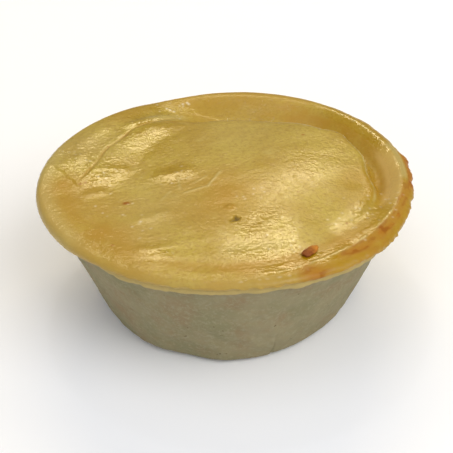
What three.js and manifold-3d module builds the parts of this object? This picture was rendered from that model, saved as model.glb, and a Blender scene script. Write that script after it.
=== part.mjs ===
// A single-serving chicken pie, standing on its own flat base.
//
// Two pieces of pastry: a pale tapered case that holds the filling, and a glazed lid laid over it and
// pressed down round the rim. The pie is whole, so the case is one solid together with its filling.
// Millimetres, +Z up, with the origin at the middle of the underside. Angles are in degrees, seen from
// above: 0 is the right (+X), 90 the back, 180 the left and 270 the front.

import * as THREE from "three";
import { mergeVertices } from "three/addons/utils/BufferGeometryUtils.js";
import Module from "manifold-3d";

// Driving dimensions of the lid
const LID_RADIUS = 53; // reach of the edge from the axis, before its unevenness
const LID_THICKNESS = 2; // rolled sheet
const CREST_HEIGHT = 38; // top of the rim above the table
const CREST_RADIUS = 49.5; // the rim's crest, before its unevenness
const CREST_ROUND = 2.4; // how softly the rim turns over there
const CROWN_HEIGHT = 39.6; // top of the filled middle, before its swells
const FILLING_RADIUS = 40; // reach of the filled middle, before its unevenness
const FILLING_STEEPNESS = 11; // how sharply the middle drops there
const RING_HEIGHT = 37.3; // ring where the lid was pressed down round the filling
const PRESS_ROUND = 1.2; // how softly that ring and the rim run into each other
const PRESS_ROUND_LEAST = 0.3; // least of that, however it changes along the rim
const PRESS_ROUND_FROM = 12; // radius at which that rounding begins
const PRESS_ROUND_FULL = 30; // and at which it is full
const SLOPE_IN = 0.12; // rim's slope down to the pressed ring
const SLOPE_OUT = 0.16; // rim's slope down to its edge
const ROLL_WIDTH = 1.9; // rounded shoulder at the very edge
const ROLL_HEIGHT = 0.9; // height of that shoulder where the case's lip shows under it
const HEM_DROOP = 1.2; // how much lower the edge hangs where it covers the lip
const HEM_ROUND = 0.9; // lower corner of the edge
const HEM_LEDGE = 0.1; // least width of the flat between that corner and the lip
const HEM_TAPER = 0.05; // lean of the hem's inner face

// Driving dimensions of the case
const FOOT_RADIUS = 35.3; // flat underside
const FOOT_ROUND = 4; // corner between underside and wall
const WALL_RADIUS = 49.4; // top of the tapered wall
const WALL_HEIGHT = 32.4;
const LIP_THICKNESS = 1.9; // the case's own edge, which shows under the lid at the front and right
const LIP_ROUND = 0.5;
const LIP_INSET = 0.9; // how far the lip falls short of the lid's edge where it shows
const LIP_HIDDEN_INSET = 2.4; // and where the lid covers it
const LIP_HIDDEN_SHARE = 0.5; // share of its thickness that is left there
const JOINT_GAP = 0.3; // clearance between lid and case

// How finely the surfaces are divided
const EDGE_COUNT = 126; // points round the rim and the wall
const TOP_RINGS = 24; // rings from the middle of the lid to its rounded edge
const TOP_CROWDING = 0.8; // below 1, those rings lie closer together towards the edge
const JOINT_RADII = [47.5, 45.5, 43.7, 42, 40, 37, 34, 31, 27, 20, 11]; // face between lid and case
const JOINT_SPACING = 3; // roughly, between points on a ring of that face

// Stretches of the rim: where each begins and ends, and over how much it fades beyond
const FLAKY = { from: -45, to: 35, fade: 15 }; // the edge burst into flakes
const LIP_SHOWN = { from: 240, to: 380, fade: 30 }; // the case's lip shows under the lid
const CREASED = { from: 125, to: 180, fade: 12 }; // the edge of the filled middle is a sharp crease
const RIDGED = { from: 128, to: 165, fade: 30 }; // the lid rises to that crease

// How the dimensions above change along such stretches
const EDGE_CHANGES = [
  { from: 18, to: 22, fade: 16, by: -0.6 },
  { from: 60, to: 60, fade: 28, by: 0.4 },
  { from: 114, to: 114, fade: 36, by: -2 },
  { from: 185, to: 185, fade: 50, by: 1.4 },
  { from: 315, to: 315, fade: 45, by: 0.9 },
];
const CREST_RADIUS_CHANGES = [
  { from: 185, to: 185, fade: 30, by: 1.6 },
  { from: 272, to: 272, fade: 25, by: 1.2 },
];
const CREST_ROUND_CHANGES = [{ from: -70, to: 40, fade: 40, by: -1.5 }];
const CREST_HEIGHT_CHANGES = [
  { from: 190, to: 190, fade: 70, by: -0.3 },
  { from: 130, to: 170, fade: 25, by: 0.5 },
];
const SLOPE_IN_CHANGES = [
  { from: -8, to: 40, fade: 25, by: 0.5 },
  { from: 65, to: 92, fade: 38, by: 0.33 },
  { from: 225, to: 315, fade: 25, by: -0.1 },
];
const SLOPE_OUT_CHANGES = [{ from: -40, to: 140, fade: 40, by: 0.22 }];
const RING_CHANGES = [
  { from: -6, to: 76, fade: 18, endFade: 48, by: -2.6 },
  { from: 35, to: 84, fade: 38, by: -1.6 },
  { from: 135, to: 170, fade: 25, by: 0.9 },
  { from: 262, to: 335, fade: 15, by: -0.5 },
];
const FILLING_CHANGES = [
  { from: -25, to: 25, fade: 30, by: 0.6 },
  { from: -40, to: -24, fade: 20, by: 4 },
  { from: 18, to: 34, fade: 14, by: -1.6 },
  { from: 65, to: 100, fade: 45, by: -8 },
  { from: 225, to: 305, fade: 25, by: 3 },
  { from: 272, to: 296, fade: 18, by: 1.5 },
];
const STEEPNESS_CHANGES = [
  { from: 0, to: 95, fade: 30, by: 15 },
  { from: -16, to: 20, fade: 12, by: 60 },
  { from: 205, to: 335, fade: 12, by: 18 },
];
const PRESS_ROUND_CHANGES = [
  { from: -20, to: 110, fade: 20, by: -0.6 },
  { from: 225, to: 315, fade: 25, by: -0.8 },
];

// Rises and sags of the filled middle: place, spread and height
const MIDDLE_SWELLS = [
  { x: 18.5, y: 1, spread: 14, height: 1.9 },
  { x: 31, y: 23, spread: 12, height: 1.8 },
  { x: -8, y: -20, spread: 14, height: -0.4 },
  { x: 23, y: -25, spread: 10, height: -0.65 },
  { x: 0.4, y: -20.4, spread: 1.5, height: 0.5 },
];
const LEFT_FALL = { from: 0, to: 40, depth: 2.5 }; // it sinks to the left, between these distances
const RIDGE = { from: 26, to: 38, height: 1.7 }; // and rises to the crease, between these radii

// It slopes down to the front, from a radius at which it turns over this softly. At the right end of that
// stretch the slope is gentle and starts further in, with a steeper foot.
const FRONT = { from: 268, to: 336, fade: 22 };
const FRONT_FALL = { slope: 0.125, start: 33, round: 3 };
const FRONT_RIGHT = { from: 308, to: 336, fade: 18 };
const FRONT_RIGHT_FALL = { slope: 0.03, start: 29 };
const FRONT_RIGHT_FOOT = { slope: 0.1, start: 39, round: 2 };
const MIDDLE_FLAT = { from: 12, to: 26 }; // radii between which that slope fades in

// Folds in the lid: middle of the ridge, the way it runs, its length, width and height
const FOLDS = [
  { x: -34, y: 2.5, heading: 178, length: 16, width: 2.6, height: 0.35 },
  { x: -15, y: -0.5, heading: 8, length: 15, width: 3, height: 0.3 },
  { x: -37, y: -8.5, heading: 20, length: 9, width: 2, height: 0.25 },
  { x: -20, y: -21.5, heading: 20, length: 13, width: 2.2, height: 0.25 },
  { x: -43, y: 14, heading: 95, length: 16, width: 2.4, height: 0.35 },
  { x: -39, y: 24, heading: 55, length: 13, width: 2.2, height: 0.3 },
  { x: -46.5, y: 0.5, heading: 308, length: 14, width: 2.6, height: 0.4 },
  { x: -24, y: 32, heading: 33, length: 22, width: 1.6, height: 0.4 },
  { x: -19, y: -37.5, heading: 0, length: 14, width: 2.5, height: 0.3 },
];

const DEGREE = Math.PI / 180;
const ease = THREE.MathUtils.smoothstep;
const lerp = THREE.MathUtils.lerp;
const total = (values) => values.reduce((sum, value) => sum + value, 0);

// 1 along a stretch of the rim, fading to 0 beyond each end. endFade is for a longer fade at the far end.
function along(angle, { from, to, fade, endFade = fade }) {
  const half = (to - from) / 2;
  const away = ((angle - from - half + 540) % 360) - 180;
  return 1 - ease(Math.abs(away), half, half + (away > 0 ? endFade : fade));
}

// A dimension at an angle, with the changes along the rim.
function changed(base, changes, angle) {
  return base + total(changes.map((change) => change.by * along(angle, change)));
}

// The larger of two heights, with the corner between them rounded off.
function softMax(a, b, round) {
  return (a + b + Math.hypot(a - b, round)) / 2;
}

// Seeded draws from 0 to 1, the same on every run.
function seededDraws(seed, count) {
  let state = seed;
  return Array.from({ length: count }, () => {
    state = (state * 1664525 + 1013904223) % 4294967296;
    return state / 4294967296;
  });
}

// Ragged flakes along the rim, deep at the right and hardly seen elsewhere
const FLAKE_DEPTH = 0.8;
const FLAKE_SHARE_ELSEWHERE = 0.12;
const FLAKE_INWARD_FADE = 12; // the higher, the closer to the edge the flakes stay
const FLAKE_DRAWS = seededDraws(41, EDGE_COUNT);

function flakyEdge(angle) {
  const draw = FLAKE_DRAWS[Math.round((angle / 360) * EDGE_COUNT) % EDGE_COUNT];
  return FLAKE_DEPTH * lerp(FLAKE_SHARE_ELSEWHERE, 1, along(angle, FLAKY)) * (draw - 0.5);
}

// Reach of the lid's edge from the axis, without and with its flakes.
function smoothEdgeRadius(angle) {
  return changed(LID_RADIUS, EDGE_CHANGES, angle);
}

function edgeRadius(angle) {
  return smoothEdgeRadius(angle) + flakyEdge(angle);
}

// How far the filled middle has sloped down to the front.
function frontFall(radius, angle) {
  const right = along(angle, FRONT_RIGHT);
  const slope = lerp(FRONT_FALL.slope, FRONT_RIGHT_FALL.slope, right);
  const start = lerp(FRONT_FALL.start, FRONT_RIGHT_FALL.start, right);
  const foot = softMax(radius - FRONT_RIGHT_FOOT.start, 0, FRONT_RIGHT_FOOT.round);
  const fallen = slope * softMax(radius - start, 0, FRONT_FALL.round) + FRONT_RIGHT_FOOT.slope * right * foot;
  return fallen * along(angle, FRONT) * ease(radius, MIDDLE_FLAT.from, MIDDLE_FLAT.to);
}

// The filled middle: a crown with a mound at the right, which slopes down to the front, sinks to the left and
// rises to the crease there. It drops to the pressed ring, and to a deep groove at the right and the back.
function middleHeight(radius, angle) {
  const [x, y] = [radius * Math.cos(angle * DEGREE), radius * Math.sin(angle * DEGREE)];
  const swells = MIDDLE_SWELLS.map((s) => {
    const away = Math.hypot(x - s.x, y - s.y) / s.spread;
    return s.height * Math.exp((-away * away) / 2);
  });
  const sunk = LEFT_FALL.depth * ease(-x, LEFT_FALL.from, LEFT_FALL.to);
  const ridge = RIDGE.height * along(angle, RIDGED) * ease(radius, RIDGE.from, RIDGE.to);
  const crown = CROWN_HEIGHT + total(swells) - sunk - frontFall(radius, angle) + ridge;
  const ringHeight = changed(RING_HEIGHT, RING_CHANGES, angle);
  const share = radius / changed(FILLING_RADIUS, FILLING_CHANGES, angle);
  const drop = share ** changed(FILLING_STEEPNESS, STEEPNESS_CHANGES, angle);
  return ringHeight + (crown - ringHeight) / (1 + drop);
}

// The rim: a crest that slopes inwards to the pressed ring and outwards to the edge.
function rimHeight(radius, angle) {
  const crestRadius = changed(CREST_RADIUS, CREST_RADIUS_CHANGES, angle);
  const round = changed(CREST_ROUND, CREST_ROUND_CHANGES, angle);
  const inside = softMax(crestRadius - radius, 0, round) - round / 2;
  const outside = softMax(radius - crestRadius, 0, round) - round / 2;
  const slopeIn = changed(SLOPE_IN, SLOPE_IN_CHANGES, angle);
  const slopeOut = changed(SLOPE_OUT, SLOPE_OUT_CHANGES, angle);
  return changed(CREST_HEIGHT, CREST_HEIGHT_CHANGES, angle) - slopeIn * inside - slopeOut * outside;
}

// The lid's upper face without its creases and folds. The underside follows it, a sheet's thickness lower.
function sheetHeight(radius, angle) {
  const fullRound = Math.max(changed(PRESS_ROUND, PRESS_ROUND_CHANGES, angle), PRESS_ROUND_LEAST);
  const round = fullRound * ease(radius, PRESS_ROUND_FROM, PRESS_ROUND_FULL);
  return softMax(middleHeight(radius, angle), rimHeight(radius, angle), round);
}

function undersideHeight(radius, angle) {
  return sheetHeight(radius, angle) - LID_THICKNESS;
}

// The crease on the left, where the pressed ring narrows to a fold that turns out towards the edge
const CREASE = { depth: 0.5, width: 1.3, radius: 38, outerRadius: 41.6, turnFrom: 163, turnTo: 185 };

function creaseDepth(radius, angle) {
  const outwards = ease(angle, CREASE.turnFrom, CREASE.turnTo);
  const away = (radius - lerp(CREASE.radius, CREASE.outerRadius, outwards)) / CREASE.width;
  return CREASE.depth * along(angle, CREASED) * Math.exp(-away * away);
}

// Height of a fold above the sheet at a place on it.
function foldHeight(fold, x, y) {
  const [cos, sin] = [Math.cos(fold.heading * DEGREE), Math.sin(fold.heading * DEGREE)];
  const lengthwise = (x - fold.x) * cos + (y - fold.y) * sin;
  const across = (y - fold.y) * cos - (x - fold.x) * sin;
  const runOut = 1 - ease(Math.abs(lengthwise), fold.length / 4, fold.length / 2);
  return fold.height * runOut * Math.exp(-((across / fold.width) ** 2));
}

// The lid's upper face.
function topHeight(radius, angle) {
  const [x, y] = [radius * Math.cos(angle * DEGREE), radius * Math.sin(angle * DEGREE)];
  const folds = total(FOLDS.map((fold) => foldHeight(fold, x, y)));
  return sheetHeight(radius, angle) - creaseDepth(radius, angle) + folds;
}

// The case's lip: it shows under the lid at the front and right, and the lid covers it elsewhere.
const lipShown = (angle) => along(angle, LIP_SHOWN);
const lipRadius = (angle) => smoothEdgeRadius(angle) - lerp(LIP_HIDDEN_INSET, LIP_INSET, lipShown(angle));
const lipThickness = (angle) => LIP_THICKNESS * lerp(LIP_HIDDEN_SHARE, 1, lipShown(angle));

// A ring of points, evenly spaced round the axis. place gives the radius and height at an angle.
function ring(count, place) {
  return Array.from({ length: count }, (_, i) => {
    const angle = (360 * i) / count;
    const [radius, height] = place(angle);
    return [radius * Math.cos(angle * DEGREE), radius * Math.sin(angle * DEGREE), height];
  });
}

const apex = (height) => [[0, 0, height]];

// A closed surface through rings of points, from the upper apex out over the edge and in to the lower one.
// Two neighbouring rings may differ in their count of points. Between them the outer ring takes each step
// first, so that two faces through the same rings have the same triangles.
function loft(rings) {
  const reach = (points) => Math.hypot(points[0][0], points[0][1]);
  const index = [];
  let start = 0;
  rings.slice(0, -1).forEach((ringA, k) => {
    const [countA, countB] = [ringA.length, rings[k + 1].length];
    const a = (i) => start + (i % countA);
    const b = (j) => start + countA + (j % countB);
    const stepsA = countA > 1 ? countA : 0;
    const stepsB = countB > 1 ? countB : 0;
    const outerB = reach(rings[k + 1]) > reach(ringA);
    let [i, j] = [0, 0];
    while (i < stepsA || j < stepsB) {
      const behind = (j + 1) * countA - (i + 1) * countB;
      const turnB = i === stepsA || (j < stepsB && (behind < 0 || (behind === 0 && outerB)));
      index.push(a(i), b(j), turnB ? b(++j) : a(++i));
    }
    start += countA;
  });
  const positions = new Float32Array(rings.flat(2));
  return new THREE.BufferGeometry()
    .setAttribute("position", new THREE.BufferAttribute(positions, 3))
    .setIndex(index);
}

// The face between lid and case, from the lip in to the axis, lowered by a clearance. Its rings have fewer
// points towards the middle.
function jointRings(clearance) {
  const faceRing = (count, radiusAt) => ring(count, (angle) => {
    return [radiusAt(angle), undersideHeight(radiusAt(angle), angle) - clearance];
  });
  const lip = (angle) => lipRadius(angle) - LIP_ROUND;
  const count = (radius) => Math.min(EDGE_COUNT, 6 * Math.ceil(radius / JOINT_SPACING));
  return [
    faceRing(EDGE_COUNT, lip),
    faceRing(EDGE_COUNT, (angle) => (lip(angle) + JOINT_RADII[0]) / 2),
    ...JOINT_RADII.map((radius) => faceRing(count(radius), () => radius)),
    apex(undersideHeight(0, 0) - clearance),
  ];
}

// The lid: upper face, rounded edge, hem that hangs over the lip where it covers it, and underside.
function lidGeometry() {
  const rings = [apex(topHeight(0, 0))];
  const shoulder = (angle) => edgeRadius(angle) - ROLL_WIDTH;
  for (let k = 1; k <= TOP_RINGS; k++) {
    const share = (k / TOP_RINGS) ** TOP_CROWDING;
    rings.push(ring(Math.min(EDGE_COUNT, 6 * k), (angle) => {
      const flakes = flakyEdge(angle) * share ** FLAKE_INWARD_FADE;
      const radius = share * (smoothEdgeRadius(angle) - ROLL_WIDTH) + flakes;
      return [radius, topHeight(radius, angle)];
    }));
  }
  const hidden = (angle) => (1 - lipShown(angle)) ** 2;
  const rollHeight = (angle) => ROLL_HEIGHT * (1 + hidden(angle));
  for (const turn of [30, 60, 90]) {
    rings.push(ring(EDGE_COUNT, (angle) => {
      const radius = shoulder(angle) + ROLL_WIDTH * Math.sin(turn * DEGREE);
      return [radius, topHeight(radius, angle) - rollHeight(angle) * (1 - Math.cos(turn * DEGREE))];
    }));
  }
  const hemHeight = (angle) => undersideHeight(edgeRadius(angle), angle) - HEM_DROOP * hidden(angle);
  for (const turn of [45, 90]) {
    rings.push(ring(EDGE_COUNT, (angle) => {
      const rolled = topHeight(edgeRadius(angle), angle) - rollHeight(angle);
      const radius = edgeRadius(angle) - HEM_ROUND * (1 - Math.cos(turn * DEGREE));
      return [radius, lerp(rolled, hemHeight(angle), Math.sin(turn * DEGREE))];
    }));
  }
  const hemInside = (angle) => {
    return Math.min(lipRadius(angle) + JOINT_GAP, edgeRadius(angle) - HEM_ROUND - HEM_LEDGE);
  };
  rings.push(ring(EDGE_COUNT, (angle) => [hemInside(angle), hemHeight(angle)]));
  rings.push(ring(EDGE_COUNT, (angle) => {
    return [hemInside(angle) - HEM_TAPER, undersideHeight(hemInside(angle), angle)];
  }));
  return loft([...rings, ...jointRings(0)]);
}

// The seam up the case's wall, where one end of the pastry overlaps the other
const SEAM = { angle: 286, step: 0.5, fade: 12 };

// Where the wall stands in from a true cone, more so towards the foot
const NARROW = { from: 328, to: 328, fade: 60, depth: 1.1 };

// Gentle waves round the wall: how many, where they start and how far they reach
const WALL_WAVES = [
  { count: 3, start: 40, reach: 0.35 },
  { count: 5, start: 130, reach: 0.2 },
];

// How far the wall stands out from a true cone, at a share of its height.
function wallReach(angle, share) {
  const waves = WALL_WAVES.map((w) => w.reach * Math.sin((w.count * angle + w.start) * DEGREE));
  const beforeSeam = (SEAM.angle - angle + 360) % 360;
  const narrow = NARROW.depth * along(angle, NARROW) * (1 - share * share);
  return total(waves) - narrow + SEAM.step * Math.exp(-beforeSeam / SEAM.fade);
}

// The case with its filling: face under the lid, lip, tapered wall, rounded foot and flat underside.
function caseGeometry() {
  const rings = jointRings(JOINT_GAP).reverse();
  const lipTop = (angle) => undersideHeight(lipRadius(angle) - LIP_ROUND, angle) - JOINT_GAP;
  for (const [inset, share] of [[0, 0.5], [LIP_ROUND, 1]]) {
    rings.push(ring(EDGE_COUNT, (angle) => {
      return [lipRadius(angle) - inset, lipTop(angle) - share * lipThickness(angle)];
    }));
  }
  const taper = Math.atan2(WALL_HEIGHT, WALL_RADIUS - FOOT_RADIUS);
  const footEdge = FOOT_RADIUS + FOOT_ROUND * Math.sin(taper);
  const footTop = FOOT_ROUND * (1 - Math.cos(taper));
  for (const share of [1, 0.75, 0.5, 0.25]) {
    rings.push(ring(EDGE_COUNT, (angle) => {
      const radius = lerp(footEdge, WALL_RADIUS, share) + wallReach(angle, share);
      return [radius, lerp(footTop, WALL_HEIGHT, share)];
    }));
  }
  for (const share of [1, 0.55, 0]) {
    rings.push(ring(EDGE_COUNT, (angle) => {
      const radius = FOOT_RADIUS + FOOT_ROUND * Math.sin(share * taper);
      return [radius + wallReach(angle, 0), FOOT_ROUND * (1 - Math.cos(share * taper))];
    }));
  }
  rings.push(apex(0));
  return loft(rings);
}

const wasm = await Module();
wasm.setup();

// A closed three.js geometry as a solid that can be joined or cut.
function solidOf(geometry) {
  const bare = geometry.clone();
  bare.deleteAttribute("normal");
  bare.deleteAttribute("uv");
  const merged = mergeVertices(bare, 1e-4);
  return new wasm.Manifold(
    new wasm.Mesh({
      numProp: 3,
      vertProperties: merged.attributes.position.array,
      triVerts: new Uint32Array(merged.index.array),
    }),
  );
}

function geometryOf(solid) {
  const mesh = solid.getMesh();
  const geometry = new THREE.BufferGeometry()
    .setAttribute("position", new THREE.BufferAttribute(mesh.vertProperties, 3))
    .setIndex(new THREE.BufferAttribute(mesh.triVerts, 1));
  geometry.computeVertexNormals();
  return geometry;
}

// Height of the lid's upper face at a place on it.
function topAt(x, y) {
  const angle = (Math.atan2(y, x) / DEGREE + 360) % 360;
  return topHeight(Math.hypot(x, y), angle);
}

// A brown crumb of crust baked onto the foot of the front slope
const CRUMB = { x: 20.6, y: -40.4, length: 6.2, width: 2.6, height: 1.6, sunk: 0.3, heading: 46 };

function crumbGeometry() {
  return new THREE.IcosahedronGeometry(0.5, 1)
    .scale(CRUMB.length, CRUMB.width, CRUMB.height)
    .rotateZ(CRUMB.heading * DEGREE)
    .translate(CRUMB.x, CRUMB.y, topAt(CRUMB.x, CRUMB.y) + CRUMB.height * (0.5 - CRUMB.sunk));
}

// The steam tear in the front slope: three short slits that meet
const TEAR = { x: 2.2, y: -26, depth: 1.1, waist: 0.5 };
const TEAR_SLITS = [
  { heading: 30, length: 1.4 },
  { heading: 110, length: 2 },
  { heading: 215, length: 2.9 },
];

function tearGeometry() {
  const spoke = (reach, heading) => {
    return new THREE.Vector2(reach * Math.cos(heading * DEGREE), reach * Math.sin(heading * DEGREE));
  };
  const outline = TEAR_SLITS.flatMap((slit, i) => {
    const next = TEAR_SLITS[(i + 1) % TEAR_SLITS.length];
    const between = slit.heading + ((next.heading - slit.heading + 360) % 360) / 2;
    return [spoke(slit.length, slit.heading), spoke(TEAR.waist, between)];
  });
  return new THREE.ExtrudeGeometry(new THREE.Shape(outline), { depth: 3 * TEAR.depth, bevelEnabled: false })
    .translate(TEAR.x, TEAR.y, topAt(TEAR.x, TEAR.y) - TEAR.depth);
}

// The two pieces, in the order they are put together
const pie = new THREE.Group();

const pastryCase = new THREE.Mesh(
  geometryOf(solidOf(caseGeometry())),
  new THREE.MeshStandardMaterial({ color: 0xb0a47c, roughness: 0.85, metalness: 0 }),
);
pastryCase.name = "pastry_case";
pie.add(pastryCase);

const lidSolid = solidOf(lidGeometry()).add(solidOf(crumbGeometry())).subtract(solidOf(tearGeometry()));
const pastryLid = new THREE.Mesh(
  geometryOf(lidSolid),
  new THREE.MeshStandardMaterial({ color: 0xc9a558, roughness: 0.35, metalness: 0 }),
);
pastryLid.name = "pastry_lid";
pie.add(pastryLid);

export default pie;
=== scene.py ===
import math

import bpy
import numpy as np
from mathutils import Matrix, Vector


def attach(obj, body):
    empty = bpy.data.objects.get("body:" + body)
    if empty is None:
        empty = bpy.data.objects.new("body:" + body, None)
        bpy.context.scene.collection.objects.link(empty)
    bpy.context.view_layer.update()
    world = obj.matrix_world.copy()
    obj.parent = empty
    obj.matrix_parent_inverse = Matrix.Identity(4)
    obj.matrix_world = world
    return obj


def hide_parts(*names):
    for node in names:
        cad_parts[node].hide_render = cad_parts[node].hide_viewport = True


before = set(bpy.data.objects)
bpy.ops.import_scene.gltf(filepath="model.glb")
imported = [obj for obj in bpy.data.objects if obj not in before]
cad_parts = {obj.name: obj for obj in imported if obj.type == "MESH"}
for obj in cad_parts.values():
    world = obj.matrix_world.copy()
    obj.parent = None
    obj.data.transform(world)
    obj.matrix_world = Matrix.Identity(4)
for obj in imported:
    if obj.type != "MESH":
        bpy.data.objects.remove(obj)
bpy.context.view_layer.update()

# The lid's sheet: a round of pastry, rolled out, laid over the filled case and pressed down round the
# filling. Its line and its rise and fall come first, because the case's lip is crimped to its underside.
# Sizes are in millimetres and angles in degrees from the right, seen from above.
MM = 0.001
LID_RADIUS = 53.0
LID_THICKNESS = 2.0
CREST_HEIGHT = 38.0
CREST_RADIUS = 49.5
CREST_ROUND = 2.4
CROWN_HEIGHT = 39.6
FILLING_RADIUS = 40.0
FILLING_STEEPNESS = 11
RING_HEIGHT = 37.3
PRESS_ROUND = 1.2
PRESS_ROUND_LEAST = 0.3
PRESS_ROUND_RADII = (12, 30)
SLOPE_IN = 0.12
SLOPE_OUT = 0.16

# How these change along the rim: each stretch by its start, end and fade, and the change there
EDGE_CHANGES = [
    ((18, 22, 16), -0.6),
    ((60, 60, 28), 0.4),
    ((114, 114, 36), -2.0),
    ((185, 185, 50), 1.4),
    ((315, 315, 45), 0.9),
]
CREST_RADIUS_CHANGES = [((185, 185, 30), 1.6), ((272, 272, 25), 1.2)]
CREST_ROUND_CHANGES = [((-70, 40, 40), -1.5)]
CREST_HEIGHT_CHANGES = [((190, 190, 70), -0.3), ((130, 170, 25), 0.5)]
SLOPE_IN_CHANGES = [((-8, 40, 25), 0.5), ((65, 92, 38), 0.33), ((225, 315, 25), -0.1)]
SLOPE_OUT_CHANGES = [((-40, 140, 40), 0.22)]
RING_CHANGES = [
    ((-6, 76, 18, 48), -2.6),
    ((35, 84, 38), -1.6),
    ((135, 170, 25), 0.9),
    ((262, 335, 15), -0.5),
]
FILLING_CHANGES = [
    ((-25, 25, 30), 0.6),
    ((-40, -24, 20), 4.0),
    ((65, 100, 45), -8.0),
    ((225, 305, 25), 3.0),
    ((18, 34, 14), -1.6),
    ((272, 296, 18), 1.5),
]
STEEPNESS_CHANGES = [((0, 95, 30), 15), ((-16, 20, 12), 60), ((205, 335, 12), 18)]
PRESS_ROUND_CHANGES = [((-20, 110, 20), -0.6), ((225, 315, 25), -0.8)]

# The filled middle: its swells, its fall to the left, its rise to the crease and its slope to the front
MIDDLE_SWELLS = [((18.5, 1), 14, 1.9), ((31, 23), 12, 1.8), ((-8, -20), 14, -0.4), ((23, -25), 10, -0.65)]
LEFT_FALL = 2.5
LEFT_FALL_WIDTH = 40
RIDGED = (128, 165, 30)
RIDGE_HEIGHT = 1.7
RIDGE_RADII = (26, 38)
FRONT = (268, 336, 22)
FRONT_SLOPE = 0.125
FRONT_START = 33
FRONT_ROUND = 3
FRONT_FADE_RADII = (12, 26)
FRONT_RIGHT = (308, 336, 18)
FRONT_RIGHT_SLOPE = 0.03
FRONT_RIGHT_START = 29
TOE_SLOPE = 0.1
TOE_START = 39
TOE_ROUND = 2


def ease(value, low, high):
    """0 below low, 1 above high, and a smooth rise between."""
    share = np.clip((value - low) / (high - low), 0, 1)
    return share * share * (3 - 2 * share)


def along(angle, start, end, fade, end_fade=None):
    """1 along a stretch of the rim, fading to 0 beyond each end. The far end may have a fade of its own."""
    half = (end - start) / 2
    away = (angle - start - half + 180) % 360 - 180
    return 1 - ease(np.abs(away), half, half + np.where(away > 0, end_fade or fade, fade))


def changed(base, changes, angle):
    """A size at an angle, with its changes along the rim."""
    return base + sum(change * along(angle, *stretch) for stretch, change in changes)


def soft_max(a, b, rounding):
    """The larger of two heights, with the corner between them rounded off."""
    return (a + b + np.hypot(a - b, rounding)) / 2


def bump(x, y, at, spread, height):
    """A round rise, sag or soft patch."""
    return height * np.exp(-((x - at[0]) ** 2 + (y - at[1]) ** 2) / (2 * spread**2))


def bumps(x, y, spots):
    """Several of them: place, spread and height of each."""
    return sum(bump(x, y, *spot) for spot in spots)


def smooth_edge(angle):
    """Reach of the lid's edge from the axis, without its flakes."""
    return changed(LID_RADIUS, EDGE_CHANGES, angle)


def filling_edge(angle):
    """Reach of the filled middle from the axis."""
    return changed(FILLING_RADIUS, FILLING_CHANGES, angle)


def crest_line(angle):
    """Reach of the rim's crest from the axis."""
    return changed(CREST_RADIUS, CREST_RADIUS_CHANGES, angle)


def front_fall(radius, angle):
    """How far the filled middle has sloped down to the front. At the right the slope is gentler and starts
    further in, with a steeper toe."""
    right = along(angle, *FRONT_RIGHT)
    slope = FRONT_SLOPE + (FRONT_RIGHT_SLOPE - FRONT_SLOPE) * right
    start = FRONT_START + (FRONT_RIGHT_START - FRONT_START) * right
    toe = TOE_SLOPE * right * soft_max(radius - TOE_START, 0, TOE_ROUND)
    fallen = slope * soft_max(radius - start, 0, FRONT_ROUND) + toe
    return fallen * ease(radius, *FRONT_FADE_RADII) * along(angle, *FRONT)


def middle_height(radius, angle):
    """The filled middle, which drops to a pressed ring, deepest and widest at the back."""
    x = radius * np.cos(np.radians(angle))
    y = radius * np.sin(np.radians(angle))
    sunk = LEFT_FALL * ease(-x, 0, LEFT_FALL_WIDTH) + front_fall(radius, angle)
    ridge = RIDGE_HEIGHT * along(angle, *RIDGED) * ease(radius, *RIDGE_RADII)
    crown = CROWN_HEIGHT + bumps(x, y, MIDDLE_SWELLS) - sunk + ridge
    ring = changed(RING_HEIGHT, RING_CHANGES, angle)
    steepness = changed(FILLING_STEEPNESS, STEEPNESS_CHANGES, angle)
    return ring + (crown - ring) / (1 + (radius / filling_edge(angle)) ** steepness)


def rim_height(radius, angle):
    """The rim's crest, with its slopes down to the pressed ring and to the edge."""
    crest_radius = crest_line(angle)
    rounding = changed(CREST_ROUND, CREST_ROUND_CHANGES, angle)
    inside = soft_max(crest_radius - radius, 0, rounding) - rounding / 2
    outside = soft_max(radius - crest_radius, 0, rounding) - rounding / 2
    slope_in = changed(SLOPE_IN, SLOPE_IN_CHANGES, angle)
    slope_out = changed(SLOPE_OUT, SLOPE_OUT_CHANGES, angle)
    return changed(CREST_HEIGHT, CREST_HEIGHT_CHANGES, angle) - slope_in * inside - slope_out * outside


def sheet_height(radius, angle):
    """The lid's upper face without its creases and folds."""
    rounding = np.maximum(changed(PRESS_ROUND, PRESS_ROUND_CHANGES, angle), PRESS_ROUND_LEAST)
    rounding = rounding * ease(radius, *PRESS_ROUND_RADII)
    return soft_max(middle_height(radius, angle), rim_height(radius, angle), rounding)


# The pastry case: a pale, unglazed shortcrust cup, pressed into a tapered tin and baked with its filling.
# Its wall is dented and pitted, one seam runs up the front where the pastry overlaps, and its lip is
# crimped to the lid.
FOOT_RADIUS = 35.3
FOOT_ROUND = 4.0
FOOT_RINGS = 9
BASE_RING = 0.6
WALL_RADIUS = 49.4
WALL_HEIGHT = 32.4
WALL_RINGS = 66
CASE_POINTS = 720
FILLING_TOP = 36.0
FILLING_RINGS = (13, 27, 31, 34.5, 38, 41, 43.5, 45.5, 47)
JOINT_GAP = 0.3
ON_AXIS = np.zeros(1)

# Its lip, which shows under the lid at the front and right: insets and drops of its rounding
LIP_SHOWN = (240, 380, 30)
LIP_THICKNESS = 2.1
LIP_HIDDEN_SHARE = 0.5
LIP_INSET = 0.9
LIP_HIDDEN_INSET = 2.4
LIP_JOINT_INSET = 0.5
LIP_ROUND = [(1.4, -0.3), (0.5, -0.15), (0.12, 0.2), (0, 0.45), (0.05, 0.7), (0.3, 0.92), (0.8, 1.05)]
LIP_CRIMPS = [(5, 0.16, 5), (2, 0.08, 6)]
LIP_LINE = (50, 35)

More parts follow.
